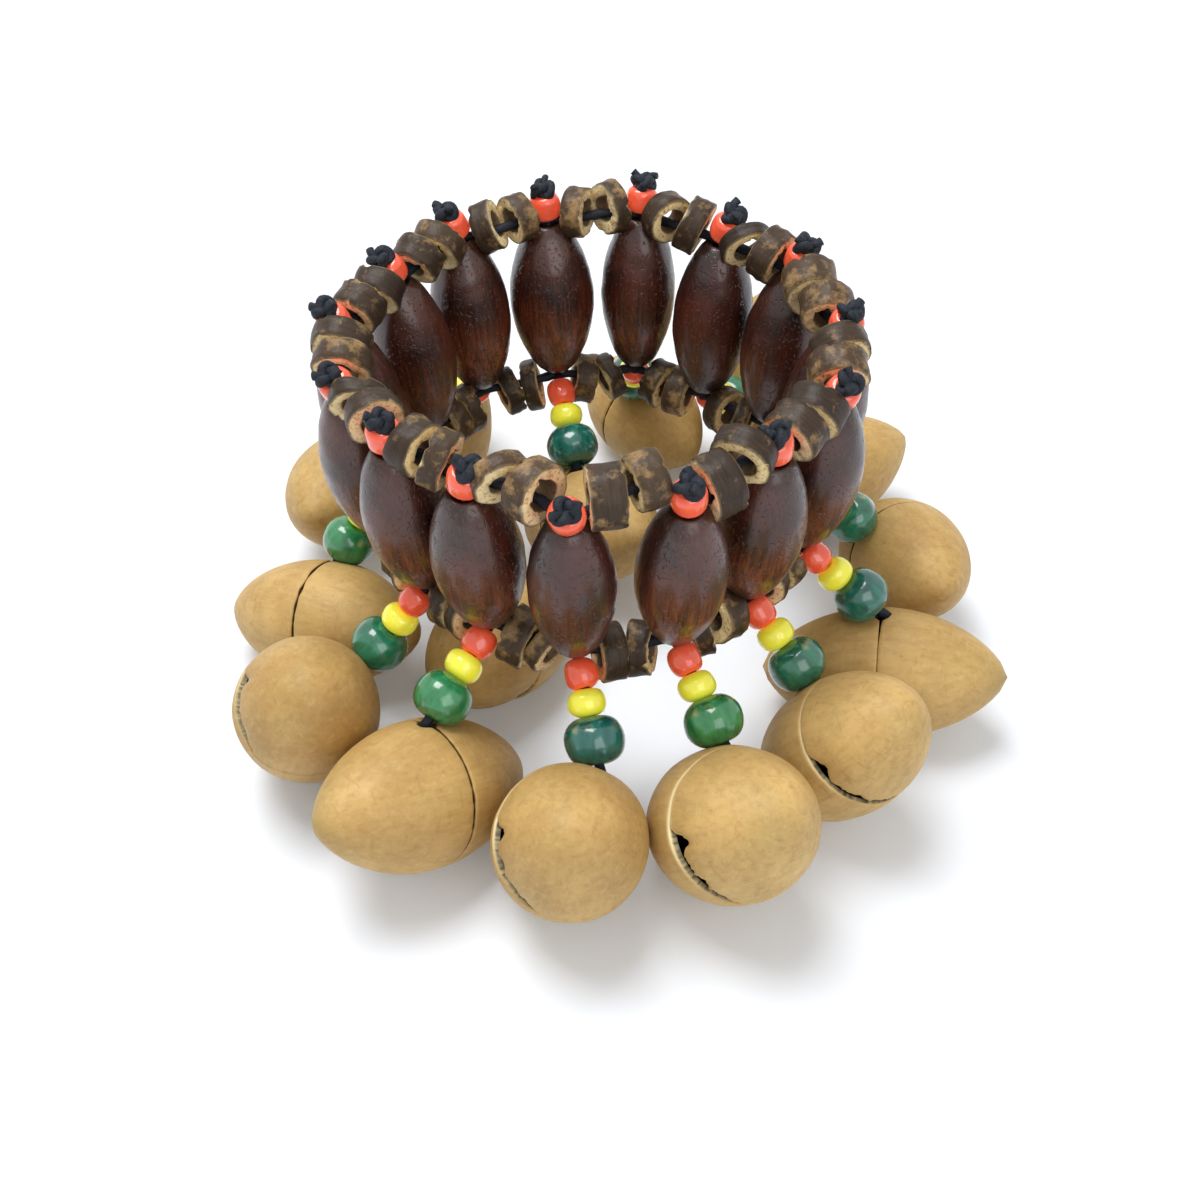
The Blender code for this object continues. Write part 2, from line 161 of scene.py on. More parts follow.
# Nutshells: the lip's rounding; the cord's hole and its depth into each valve as a share of its half width;
# the dip of the lips on both sides of it; the nib on each tip; and how far before the tip and how narrow the
# inside ends
LIP_ROUND = 0.13
CORD_HOLE, CORD_HOLE_DEPTH = 2.4, 0.8
NOTCH, NOTCH_ARC = 0.2, 3.6
NIB, NIB_LENGTH = 0.25, 0.6
INNER_TIP, INNER_RADIUS = 2.0, 0.15

# The mouth: how blunt its ends are, how deep it is at its keel end, how much less at the other, how ragged
MOUTH_ENDS = 0.6
MOUTH_DEPTH, MOUTH_FADE = 1.1, 0.4
RAGGED_COARSE, RAGGED_FINE = 0.45, 0.3

# The hole in it, in shares of the mouth: its place, its half width and how far its edge strays; how far it
# goes in as a share of how far back; and over how far from the lip, and below what radius, the break fades
HOLE_AT, HOLE_HALF, HOLE_STRAY = 0.14, 0.07, 0.03
HOLE_INSET = 0.6
BITE_REACH, BITE_RADIUS = 1.5, 3.0

# The keel's pale line, partly a painted highlight: over how many degrees it fades, its width, and the share of
# that where it isn't pale
KEEL_FADE, KEEL_WIDTH, KEEL_LEAST = 58, 0.3, 0.5

# Unevenness round the seam, as (waves to a radian, layer of the noise), and waves of the wall's fibres
COARSE_WAVES, FINE_WAVES, CRACK_WAVES = (6.0, 3.0), (21.0, 1.0), (8.0, 5.0)
FIBRE_WAVES = 32.0

# The skin's share of the solid's radius, and its lumps and dents: waves to a millimetre along the nut and
# to a radius round it, and their height as a share of the radius
SKIN_RADIUS = 0.967
LUMP_ALONG, LUMP_ROUND, LUMP_HEIGHT = 0.06, 0.8, 0.03
DENT_ALONG, DENT_ROUND, DENT_HEIGHT = 0.2, 2.4, 0.01

# Marks of points: how worn, cut or pale a point is (on a nut's keel partly a painted highlight), and how deep
# inside it lies, which the finishes paint as shade
PLAIN, BORED, BORE_EDGE = (0.0, 0.0), (1.0, 1.0), (1.0, 0.5)
TUBE_RIM, TUBE_SAWN, TUBE_HOLE_RIM, TUBE_BORED = (0.25, 0.0), (1.0, 0.0), (0.9, 0.0), (0.6, 0.75)
INNER_POLE = (0.0, 1.0)


# Shapes, each as (points, faces, marks)


def frame_at(x_axis, z_axis, origin):
    """Matrix of a right-handed frame at origin, with its Z kept and its X squared up to it."""
    z = z_axis.normalized()
    x = (x_axis - z * x_axis.dot(z)).normalized()
    rotation = Matrix((x, z.cross(x), z)).transposed().to_4x4()
    return Matrix.Translation(origin) @ rotation


def turned_by(degrees, axis):
    """Matrix of a turn about one of the axes."""
    return Matrix.Rotation(math.radians(degrees), 4, axis)


def any_turn():
    """Matrix of a turn about Z by chance."""
    return turned_by(RNG.uniform(0, 360), "Z")


def any_seed():
    """Place in the noise by chance, for the unevenness of one piece."""
    return RNG.uniform(0, 90)


def grid_faces(rows, columns, wrap_rows=False):
    """Quads of a grid of points whose columns close round."""
    faces = []
    for i in range(rows if wrap_rows else rows - 1):
        for j in range(columns):
            k = (j + 1) % columns
            n = (i + 1) % rows
            faces.append((i * columns + j, i * columns + k, n * columns + k, n * columns + j))
    return faces


class Piece:
    """Mesh of one piece, gathered from shapes, with what its finishes paint by."""

    def __init__(self, name):
        self.name = name
        self.points, self.faces, self.finishes = [], [], []
        self.place, self.tone, self.edge, self.deep = [], [], [], []
        self.materials = []

    def add(self, shape, matrix, finish, tone=None):
        """Add one shape at a matrix in one finish, in the tone given or one of its own within the finish."""
        points, faces, marks = shape
        if finish not in self.materials:
            self.materials.append(finish)
        index = self.materials.index(finish)
        start = len(self.points)
        self.points += [matrix @ point for point in points]
        self.place += points
        own = RNG.random()
        self.tone += [own if tone is None else tone] * len(points)
        self.edge += [mark[0] for mark in marks]
        self.deep += [mark[1] for mark in marks]
        self.faces += [tuple(start + i for i in face) for face in faces]
        self.finishes += [index] * len(faces)

    def build(self, body, node, origin):
        """Blender object of the piece with its origin at origin, riding on its body in the node's stead."""
        mesh = bpy.data.meshes.new(self.name)
        mesh.from_pydata([(point - origin) * MM for point in self.points], [], self.faces)
        for finish in self.materials:
            mesh.materials.append(finish)
        mesh.polygons.foreach_set("material_index", self.finishes)
        mesh.shade_smooth()
        place = mesh.attributes.new("place", "FLOAT_VECTOR", "POINT")
        place.data.foreach_set("vector", [value for point in self.place for value in point])
        for name, values in (("tone", self.tone), ("edge", self.edge), ("deep", self.deep)):
            mesh.attributes.new(name, "FLOAT", "POINT").data.foreach_set("value", values)
        mesh.validate()
        piece = bpy.data.objects.new(self.name, mesh)
        bpy.context.scene.collection.objects.link(piece)
        piece.location = origin * MM
        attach(piece, body)
        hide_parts(node)


def loop_turned(loop, segments, wobble, seed):
    """Ring turned about Z from a closed loop of (radius, height, edge, deep), with a little wobble."""
    lumps_per_mm, rise = 0.5, 0.5
    points, marks = [], []
    for radius, height, edge, deep in loop:
        for step in range(segments):
            turn = 2 * math.pi * step / segments
            flat = Vector((math.cos(turn), math.sin(turn), 0.0))
            spot = flat * radius * lumps_per_mm + UP * (height * lumps_per_mm + seed)
            lump = noise.noise(spot) * wobble
            points.append(flat * (radius + lump) + UP * (height + lump * rise))
            marks.append((edge, deep))
    return points, grid_faces(len(loop), segments, wrap_rows=True), marks


def bead_shape(bead):
    """Bored bead about Z, centred, with shoulders as round as its kind has."""
    steps, segments, wobble = 14, 32, 0.12
    half, hole = bead.length / 2, bead.hole / 2
    loop = [(hole * BORE_SHARE, half * share) + BORED for share in BORE_ROWS]
    for step in range(steps, -1, -1):
        turn = math.pi * step / steps
        across = math.sin(turn) ** bead.roundness
        along = math.copysign(abs(math.cos(turn)) ** bead.roundness, math.cos(turn))
        radius = hole + (bead.diameter - bead.hole) / 2 * across
        loop.append((radius, half * along, 1.0 - across, 0.0))
    return loop_turned(loop, segments, wobble, any_seed())


def spindle_shape(width):
    """Turned and lacquered spindle about Z, centred, at a share of the usual width, with soft bored ends."""
    rows, segments, wobble = 38, 44, 0.1
    top = SPINDLE_LENGTH / 2 + SPINDLE_REACH
    end, bore = SPINDLE_END / 2, SPINDLE_BORE / 2
    rim = [(bore, top - BORE_ROW) + BORED, (bore, top - BORE_BEVEL) + BORED,
           (bore + BORE_BEVEL, top) + BORE_EDGE, (end - SPINDLE_SOFT, top) + PLAIN]
    loop = list(rim)
    for row in range(rows + 1):
        share = row / rows
        swell = max(0.0, math.sin(math.pi * share)) ** SPINDLE_SWELL
        radius = end + (SPINDLE_DIAMETER / 2 * width - end) * swell
        loop.append((radius, (top - SPINDLE_SOFT) * (1 - 2 * share)) + PLAIN)
    loop += [(radius, -height, edge, deep) for radius, height, edge, deep in reversed(rim)]
    return loop_turned(loop[::-1], segments, wobble, any_seed())


def tube_shape(length, diameter):
    """Sawn ring of coconut shell about Z, centred: dark skin outside, pale rough faces and a small hole."""
    segments, wobble = 40, 0.3
    outer, half = diameter / 2, length / 2
    inner = diameter * RNG.uniform(*TUBE_HOLES)
    seed = any_seed()
    straight = half - TUBE_SOFT
    face = [(outer - TUBE_SOFT, half) + TUBE_RIM, (outer - TUBE_SKIN, half) + TUBE_SAWN,
            ((outer + inner) / 2, half) + TUBE_SAWN, (inner + TUBE_SOFT, half) + TUBE_HOLE_RIM]
    loop = [(outer, straight * share) + PLAIN for share in SKIN_ROWS] + face
    loop += [(inner, straight * share) + TUBE_BORED for share in HOLE_ROWS]
    loop += [(radius, -height, edge, deep) for radius, height, edge, deep in reversed(face)]
    points, faces, marks = loop_turned(loop[::-1], segments, wobble, seed)
    for point, (edge, _) in zip(points, marks):
        flat = Vector((point.x, point.y, 0.0))
        layer = seed + math.copysign(FACES_APART, point.z)
        groove = noise.noise(Vector((flat.length * GROOVES_ACROSS, GROOVES * point.z, seed)))
        saw = noise.noise(Vector((point.x * SAW_MARKS, point.y * SAW_MARKS, layer)))
        skin = 1.0 - edge
        at_face = abs(point.z) > half - 2 * TUBE_SOFT
        chip = max(0.0, saw - CHIP_FROM) * CHIP_DEPTH if at_face else 0.0
        point -= flat.normalized() * (GROOVE_DEPTH * groove * skin)
        point.z -= math.copysign(chip + SAW_DEPTH * saw * (1 - skin), point.z)
    return points, faces, marks


def cord_shape(path, diameter):
    """Twisted cord along a path of points: its section has a lobe for each of two plies, and turns."""
    segments = 12
    lengths = [0.0]
    for a, b in zip(path, path[1:]):
        lengths.append(lengths[-1] + (b - a).length)
    across = (path[1] - path[0]).orthogonal().normalized()
    points = []
    for i, middle in enumerate(path):
        ahead = (path[min(i + 1, len(path) - 1)] - path[max(i - 1, 0)]).normalized()
        across = (across - ahead * across.dot(ahead)).normalized()
        side = ahead.cross(across)
        for step in range(segments):
            turn = 2 * math.pi * step / segments
            lobe = math.cos(2 * turn - 2 * math.pi * lengths[i] / CORD_PITCH)
            radius = diameter / 2 * (1 + PLY_LOBE * lobe)
            points.append(middle + (across * math.cos(turn) + side * math.sin(turn)) * radius)
    faces = grid_faces(len(path), segments)
    faces.append(tuple(reversed(range(segments))))
    faces.append(tuple((len(path) - 1) * segments + step for step in range(segments)))
    return points, faces, [PLAIN] * len(points)


def smooth_path(corners):
    """Points of a smooth curve through the corners."""
    per_corner = 5
    ends = [corners[0] * 2 - corners[1]] + list(corners) + [corners[-1] * 2 - corners[-2]]
    path = []
    for a, b, c, d in zip(ends, ends[1:], ends[2:], ends[3:]):
        for step in range(per_corner):
            t = step / per_corner
            path.append(0.5 * ((2 * b) + (c - a) * t + (2 * a - 5 * b + 4 * c - d) * t ** 2
                               + (3 * b - a - 3 * c + d) * t ** 3))
    path.append(corners[-1].copy())
    return path


def knot_path(size):
    """Points of a pulled overhand knot about Z, closed on itself: a trefoil curve, scaled to its size."""
    steps, overlap = 44, 2
    width, rise = 6, 1.5
    start = RNG.uniform(0, 2 * math.pi)
    path = []
    for step in range(steps + overlap):
        t = start + 2 * math.pi * step / steps
        x = math.sin(t) + 2 * math.sin(2 * t)
        y = math.cos(t) - 2 * math.cos(2 * t)
        path.append(Vector((x, y, -rise * math.sin(3 * t))) * (size / width))
    return path


class Nut:
    """Two hollow valves of a nutshell: X is the long axis, and the cord leaves between them at +Z."""

    def __init__(self, length, diameter, split, seed):
        self.length, self.diameter = length, diameter
        self.split, self.seed = split, seed

    def ragged(self, turn, waves, layer):
        """Unevenness round the seam at a turn."""
        return noise.noise(Vector((self.seed, turn * waves, layer)))

    def past_mouth(self, turn):
        """Degrees from the middle of the mouth, above zero towards the keel."""
        return (math.degrees(turn) - self.split.shift) % 360.0 - 180.0

    def torn(self, turn):
        """How far the lip is torn at a turn, up to about 1, and how near the mouth's hole it is."""
        share = (1 - self.past_mouth(turn) / self.split.half_arc) / 2
        if not 0.0 < share < 1.0:
            return 0.0, 0.0
        coarse = self.ragged(turn, *COARSE_WAVES)
        fine = self.ragged(turn, *FINE_WAVES)
        depth = MOUTH_DEPTH - MOUTH_FADE * share + RAGGED_COARSE * coarse + RAGGED_FINE * fine
        tear = math.sin(math.pi * share) ** MOUTH_ENDS * max(0.0, depth)
        return tear, math.exp(-((share - HOLE_AT + HOLE_STRAY * fine) / HOLE_HALF) ** 2)

    def opening(self, side, turn):
        """Distance of a valve's lip from the seam's plane: the crack, the torn mouth and the cord's way out.

        A seam that lies off the middle doesn't meet the cord.
        """
        distance = self.split.crack * (1 + self.ragged(turn, *CRACK_WAVES))
        if side > 0:
            tear, hole = self.torn(turn)
            distance += self.split.back * tear + self.split.hole * hole
        if self.split.seam:
            return distance
        from_cord = math.radians(abs((math.degrees(turn) + 180.0) % 360.0 - 180.0))
        arc = self.diameter / 2 * from_cord
        if arc < CORD_HOLE / 2:
            distance += CORD_HOLE_DEPTH * math.sqrt((CORD_HOLE / 2) ** 2 - arc ** 2)
        return distance + NOTCH * math.exp(-(arc / NOTCH_ARC) ** 2)

    def plain(self, side, x, turn, from_lip):
        """Radius of a valve before its lumps; the near one stands in where it is torn."""
        along = min(1.0, abs(2 * x / self.length))
        radius = self.diameter / 2 * (1 - along ** NUT_FULLNESS) ** self.split.point
        radius += NIB * math.exp(-((1 - along) * self.length / 2 / NIB_LENGTH) ** 2)
        if side > 0:
            tear, hole = self.torn(turn)
            bite = self.split.bite * tear + HOLE_INSET * self.split.hole * hole
            inset = bite * math.exp(-from_lip / BITE_REACH)
            radius -= inset * min(1.0, radius / BITE_RADIUS)
        return radius

    def seam_pale_and_highlight(self, turn):
        """How pale the seam is at a turn, partly as a painted highlight: most on the keel, where it leaves the
        mouth.
        """
        off = self.past_mouth(turn) - self.split.half_arc
        fade = KEEL_FADE if off > 0 else KEEL_FADE / 2
        return self.split.pale * math.exp(-(off / fade) ** 2)

    def skin(self, along, outward, radius, share, from_lip, turn):
        """Radius of the outside with its lumps, dents and rounded lip, and its marks: pale on the keel, partly as
        a painted highlight.
        """
        lump = noise.noise(along * LUMP_ALONG + outward * LUMP_ROUND + UP * self.seed)
        dent = noise.noise(along * DENT_ALONG + outward * DENT_ROUND - UP * self.seed)
        radius *= SKIN_RADIUS + (LUMP_HEIGHT * lump + DENT_HEIGHT * dent) * (1 - share)
        radius -= LIP_ROUND * math.exp(-(from_lip / LIP_ROUND) ** 2)
        pale = self.seam_pale_and_highlight(turn)
        width = KEEL_WIDTH * (KEEL_LEAST + pale ** 2)
        return radius, (pale * math.exp(-(from_lip / width) ** 2), 0.0)

    def lip(self, radius, share, fibre, turn):
        """Radius of the lip at a share of the wall, and its marks: painted shade in the crack, pale where torn."""
        crack_shade, torn_deep, inward_deep, fibre_deep, deepest = 0.85, 0.2, 0.3, 0.6, 0.9
        torn_edge = 0.75
        tear = min(1.0, 2 * self.torn(turn)[0])
        deep = crack_shade * (1 - tear) + (torn_deep + inward_deep * share + fibre_deep * fibre) * tear
        radius -= LIP_ROUND + (NUT_WALL - LIP_ROUND) * share
        return radius, (torn_edge * tear, max(0.0, min(deepest, deep)))

    def inside(self, radius, fibre, from_lip):
        """Radius of the inside, and its marks: its own darker colour, and painted shade that deepens away from the
        lip.
        """
        edge, near_deep, fibre_deep, shade_per_mm = 0.4, 0.3, 0.3, 0.4
        deep = min(1.0, near_deep + fibre_deep * fibre + shade_per_mm * from_lip)
        return max(INNER_RADIUS, radius - NUT_WALL), (edge, deep)

    def point(self, side, kind, share, turn):
        """A valve's point and its marks: kind is in, lip or out; share goes to the tip or through the lip."""
        outward = Vector((0.0, math.sin(turn), math.cos(turn)))
        opening = self.opening(side, turn)
        reach = self.length / 2 - side * self.split.seam - opening
        from_lip = 0.0 if kind == "lip" else reach * share
        x = self.split.seam + side * (opening + from_lip)
        radius = self.plain(side, x, turn, from_lip)
        fibre = 0.5 + noise.noise(Vector((turn * FIBRE_WAVES, self.seed, side)))
        if kind == "in":
            limit = self.length / 2 - INNER_TIP
            x = max(-limit, min(limit, x))
            radius, mark = self.inside(radius, fibre, from_lip)
        elif kind == "lip":
            radius, mark = self.lip(radius, share, fibre, turn)
        else:
            radius, mark = self.skin(Vector((x, 0, 0)), outward, radius, share, from_lip, turn)
        return Vector((x, 0, 0)) + outward * radius, mark

    def turns(self):
        """Turns of the columns of points, three times as close about the mouth as elsewhere."""
        fine, coarse, about = 60, 66, 2.3
        arc = about * self.split.half_arc
        start = 180.0 + self.split.shift - arc / 2
        degrees = [start + arc * step / fine for step in range(fine)]
        degrees += [start + arc + (360.0 - arc) * step / coarse for step in range(coarse)]
        return [math.radians(value) for value in degrees]

    def shape(self):
        """Both valves, each closed over its inside, lip and outside, with rows that are closer at the lip."""
        outer_rows, inner_rows = 26, 8
        outer_closing, inner_closing = 1.5, 1.2
        turns = self.turns()
        columns = len(turns)
        rows = [("in", (step / inner_rows) ** inner_closing) for step in range(inner_rows - 1, -1, -1)]
        rows += [("lip", 1.0), ("lip", 0.5)]
        rows += [("out", (step / outer_rows) ** outer_closing) for step in range(outer_rows)]
        points, faces, marks = [], [], []
        for side in (1, -1):
            start = len(points)
            for kind, share in rows:
                for turn in turns:
                    point, mark = self.point(side, kind, share, turn)
                    points.append(point)
                    marks.append(mark)
            tip, last = len(points), len(points) - columns
            half = self.length / 2
            points += [Vector((side * half, 0, 0)), Vector((side * (half - INNER_TIP), 0, 0))]
            marks += [PLAIN, INNER_POLE]
            own = [tuple(start + i for i in face) for face in grid_faces(len(rows), columns)]
            for column in range(columns):
                after = (column + 1) % columns
                own.append((last + column, last + after, tip))
                own.append((start + after, start + column, tip + 1))
            faces += own if side < 0 else [tuple(reversed(face)) for face in own]
        return points, faces, marks


# Finishes, each named for what it is made of; sizes of patterns are millimetres

NOISE, STRETCH, SPREAD, MIX = "ShaderNodeTexNoise", "ShaderNodeMapping", "ShaderNodeMapRange", "ShaderNodeMix"
MATH, BUMP, XYZ = "ShaderNodeMath", "ShaderNodeBump", "ShaderNodeSeparateXYZ"
COLOURS = {"data_type": "RGBA"}
TIMES, LARGER = {"operation": "MULTIPLY"}, {"operation": "MAXIMUM"}

# Sockets of a mix of colours: the share of the other, the one and the other
SHARE, ONE, OTHER = 0, 6, 7


def linear(code):
    """Linear colour of an sRGB hex code."""
    values = [int(code[i:i + 2], 16) / 255 for i in (1, 3, 5)]
    return [v / 12.92 if v <= 0.04045 else ((v + 0.055) / 1.055) ** 2.4 for v in values] + [1.0]


def per_mm(*sizes):
    """Scale of a pattern along X, Y and Z from its sizes in millimetres."""
    return [1 / size for size in sizes]


def set_inputs(tree, node, inputs):
    """Set inputs of a node, each to a value, a hex code, a socket or another node's first output in use."""
    for name, value in inputs.items():
        if isinstance(value, bpy.types.Node):
            value = next(output for output in value.outputs if output.enabled)
        if isinstance(value, bpy.types.NodeSocket):
            tree.links.new(value, node.inputs[name])
        elif isinstance(value, str):
            node.inputs[name].default_value = linear(value)
        else:
            node.inputs[name].default_value = value


def add_node(tree, kind, settings, inputs):
    """Node of a kind with its settings and its inputs."""
    node = tree.nodes.new(kind)
    for name, value in settings.items():
        setattr(node, name, value)
    set_inputs(tree, node, inputs)
    return node


def new_finish(name):
    """Empty material with its tree, its shader, and the sockets of what the pieces paint by."""
    finish = bpy.data.materials.new(name)
    finish.use_nodes = True
    tree = finish.node_tree
    painted = {}
    # The marks: where a point lies, its tone, how worn, cut or pale it is, and how deep inside it lies, for
    # painted shade
    for key, output in (("place", "Vector"), ("tone", "Fac"), ("edge", "Fac"), ("deep", "Fac")):
        attribute = add_node(tree, "ShaderNodeAttribute", {"attribute_name": key}, {})
        painted[key] = attribute.outputs[output]
    return finish, tree, tree.nodes["Principled BSDF"], painted


def nutshell_finish():
    """Dried nutshell: a matt tan skin with soft mottling, fibres towards the tips and a pale broken lip, with a
    partly painted highlight on the keel and painted shade in the crack and inside.
    """
    cloud, stain, scuff = 7.0, 11.0, 1.1
    fibre = per_mm(6.25, 0.909, 0.909)
    wrinkle = per_mm(0.667, 2.86, 2.86)
    finish, tree, shader, painted = new_finish("dried_nutshell")
    place = painted["place"]
    clouds = add_node(tree, NOISE, {}, {"Vector": place, "Scale": 1 / cloud, "Detail": 4.0})
    cloudy = add_node(tree, SPREAD, {}, {"Value": clouds, "From Min": 0.32, "From Max": 0.68})
    base = add_node(tree, MIX, COLOURS, {SHARE: cloudy, ONE: "#b59055", OTHER: "#d6b270"})
    shade = add_node(tree, MIX, COLOURS, {SHARE: painted["tone"], ONE: "#ab8549", OTHER: "#dcba78"})
    base = add_node(tree, MIX, COLOURS, {SHARE: 0.4, ONE: base, OTHER: shade})
    stains = add_node(tree, NOISE, {}, {"Vector": place, "Scale": 1 / stain, "Detail": 3.0,
                                        "Distortion": 0.6})
    stained = add_node(tree, SPREAD, {}, {"Value": stains, "From Min": 0.52, "From Max": 0.75, "To Max": 0.5})
    base = add_node(tree, MIX, COLOURS, {SHARE: stained, ONE: base, OTHER: "#a8935a"})
    along = add_node(tree, STRETCH, {}, {"Vector": place, "Scale": fibre})
    fibres = add_node(tree, NOISE, {}, {"Vector": along, "Scale": 1.0, "Detail": 6.0, "Roughness": 0.68})
    streaks = add_node(tree, SPREAD, {}, {"Value": fibres, "From Min": 0.45, "From Max": 0.75,
                                          "To Max": 0.45})
    base = add_node(tree, MIX, COLOURS, {SHARE: streaks, ONE: base, OTHER: "#99733f"})
    across = add_node(tree, STRETCH, {}, {"Vector": place, "Scale": wrinkle})
    wrinkles = add_node(tree, NOISE, {}, {"Vector": across, "Scale": 1.0, "Detail": 5.0, "Distortion": 0.8})
    lines = add_node(tree, SPREAD, {}, {"Value": wrinkles, "From Min": 0.58, "From Max": 0.74, "To Max": 0.3})
    base = add_node(tree, MIX, COLOURS, {SHARE: lines, ONE: base, OTHER: "#8f6836"})
    grains = add_node(tree, NOISE, {}, {"Vector": place, "Scale": 1 / scuff, "Detail": 5.0, "Roughness": 0.7})
    scuffs = add_node(tree, SPREAD, {}, {"Value": grains, "From Min": 0.52, "From Max": 0.78, "To Max": 0.3})
    base = add_node(tree, MIX, COLOURS, {SHARE: scuffs, ONE: base, OTHER: "#e6ca8e"})
    specks = add_node(tree, SPREAD, {}, {"Value": grains, "From Min": 0.4, "From Max": 0.26, "To Max": 0.5})
    base = add_node(tree, MIX, COLOURS, {SHARE: specks, ONE: base, OTHER: "#93703f"})
    # Pale torn lip, and on the keel a pale line that is partly a painted highlight
    base = add_node(tree, MIX, COLOURS, {SHARE: painted["edge"], ONE: base, OTHER: "#f5e6b4"})
    # Dark in the crack, the mouth and inside the valves: partly the shell's own darker inside, partly painted
    # shade deepening into the hollow
    base = add_node(tree, MIX, COLOURS, {SHARE: painted["deep"], ONE: base, OTHER: "#22140a"})
    rough = add_node(tree, SPREAD, {}, {"Value": fibres, "To Min": 0.45, "To Max": 0.65})
    height = add_node(tree, MIX, COLOURS, {SHARE: 0.5, ONE: fibres, OTHER: grains})
    bump = add_node(tree, BUMP, {}, {"Strength": 0.45, "Distance": 0.18 * MM, "Height": height})
    set_inputs(tree, shader, {"Base Color": base, "Roughness": rough, "Normal": bump,
                              "Specular IOR Level": 0.35})
    return finish


def lacquer_finish():
    """Turned hardwood under dark red-brown lacquer: a soft sheen, and fine grain that glows below the middle.

    It is painted darker again at the foot, as shade, and in the bore. The grain and the lacquer's pits are drawn
    coarser than real ones, to show.
    """
    grain_size = per_mm(0.357, 0.357, 7.14)
    cloud, pit = 9.0, 0.5
    finish, tree, shader, painted = new_finish("lacquered_hardwood")
    place = painted["place"]
    along = add_node(tree, STRETCH, {}, {"Vector": place, "Scale": grain_size})
    grain = add_node(tree, NOISE, {}, {"Vector": along, "Scale": 1.0, "Detail": 6.0, "Roughness": 0.65})
    streaks = add_node(tree, SPREAD, {}, {"Value": grain, "From Min": 0.42, "From Max": 0.68})
    clouds = add_node(tree, NOISE, {}, {"Vector": place, "Scale": 1 / cloud, "Detail": 2.0})
    warm = add_node(tree, SPREAD, {}, {"Value": clouds, "From Min": 0.36, "From Max": 0.64})
    height = add_node(tree, XYZ, {}, {0: place}).outputs["Z"]
    low = add_node(tree, SPREAD, {}, {"Value": height, "From Min": 3.0, "From Max": -6.0, "To Min": 0.15})
    # Painted shade: the colour darkens towards the foot of the spindle
    above_foot = add_node(tree, SPREAD, {}, {"Value": height, "From Min": -10.0, "From Max": -6.5,
                                             "To Min": 0.15})
    low = add_node(tree, MATH, TIMES, {0: low, 1: above_foot})
    glow = add_node(tree, MATH, TIMES, {0: streaks, 1: low})
    warm = add_node(tree, MATH, TIMES, {0: warm, 1: above_foot})
    dark = add_node(tree, MIX, COLOURS, {SHARE: warm, ONE: "#200c08", OTHER: "#4c2014"})
    light = add_node(tree, MIX, COLOURS, {SHARE: painted["tone"], ONE: "#6c3115", OTHER: "#a85829"})
    base = add_node(tree, MIX, COLOURS, {SHARE: glow, ONE: dark, OTHER: light})
    # Painted shade in the bore
    base = add_node(tree, MIX, COLOURS, {SHARE: painted["deep"], ONE: base, OTHER: "#0d0705"})
    pits = add_node(tree, NOISE, {}, {"Vector": place, "Scale": 1 / pit, "Detail": 3.0})
    few = add_node(tree, SPREAD, {}, {"Value": pits, "From Min": 0.3, "From Max": 0.42})
    bump = add_node(tree, BUMP, {}, {"Strength": 0.4, "Distance": 0.2 * MM, "Height": few})
    rough = add_node(tree, SPREAD, {}, {"Value": grain, "To Min": 0.3, "To Max": 0.5})
    set_inputs(tree, shader, {"Base Color": base, "Roughness": rough, "Normal": bump, "Coat Normal": bump,
                              "Coat Weight": 0.55, "Coat Roughness": 0.2, "Specular IOR Level": 0.36})
    return finish


def coconut_finish():
    """Coconut shell: a scraped dark brown skin with lines round it, and pale gritty faces where sawn."""
    layer = per_mm(3.33, 3.33, 0.417)
    patch, speck = 2.2, 0.45
    finish, tree, shader, painted = new_finish("coconut_shell")
    place = painted["place"]
    layered = add_node(tree, STRETCH, {}, {"Vector": place, "Scale": layer})
    lines = add_node(tree, NOISE, {}, {"Vector": layered, "Scale": 1.0, "Detail": 6.0, "Roughness": 0.65})
    lined = add_node(tree, SPREAD, {}, {"Value": lines, "From Min": 0.36, "From Max": 0.7})
    skin = add_node(tree, MIX, COLOURS, {SHARE: lined, ONE: "#1f1712", OTHER: "#4a3828"})
    shade = add_node(tree, MIX, COLOURS, {SHARE: painted["tone"], ONE: "#231a14", OTHER: "#5a4632"})
    skin = add_node(tree, MIX, COLOURS, {SHARE: 0.4, ONE: skin, OTHER: shade})
    wear = add_node(tree, NOISE, {}, {"Vector": place, "Scale": 1 / patch, "Detail": 5.0, "Roughness": 0.7})
    more = add_node(tree, MATH, {"operation": "MULTIPLY_ADD"}, {0: painted["tone"], 1: 0.14, 2: wear})
    worn = add_node(tree, SPREAD, {}, {"Value": more, "From Min": 0.6, "From Max": 0.82, "To Max": 0.85})
    skin = add_node(tree, MIX, COLOURS, {SHARE: worn, ONE: skin, OTHER: "#ab8a5d"})
    grit = add_node(tree, NOISE, {}, {"Vector": place, "Scale": 1 / speck, "Detail": 4.0})
    gritty = add_node(tree, SPREAD, {}, {"Value": grit, "From Min": 0.3, "From Max": 0.48})
    cut = add_node(tree, MIX, COLOURS, {SHARE: gritty, ONE: "#bd9250", OTHER: "#f4dfae"})
    base = add_node(tree, MIX, COLOURS, {SHARE: painted["edge"], ONE: skin, OTHER: cut})
    # Painted shade in the hole
    base = add_node(tree, MIX, COLOURS, {SHARE: painted["deep"], ONE: base, OTHER: "#3d2a18"})
    height = add_node(tree, MIX, COLOURS, {SHARE: 0.5, ONE: lines, OTHER: grit})
    bump = add_node(tree, BUMP, {}, {"Strength": 0.6, "Distance": 0.2 * MM, "Height": height})
    rough = add_node(tree, SPREAD, {}, {"Value": painted["edge"], "To Min": 0.42, "To Max": 0.8})
    set_inputs(tree, shader, {"Base Color": base, "Roughness": rough, "Normal": bump,
                              "Specular IOR Level": 0.25})
    return finish


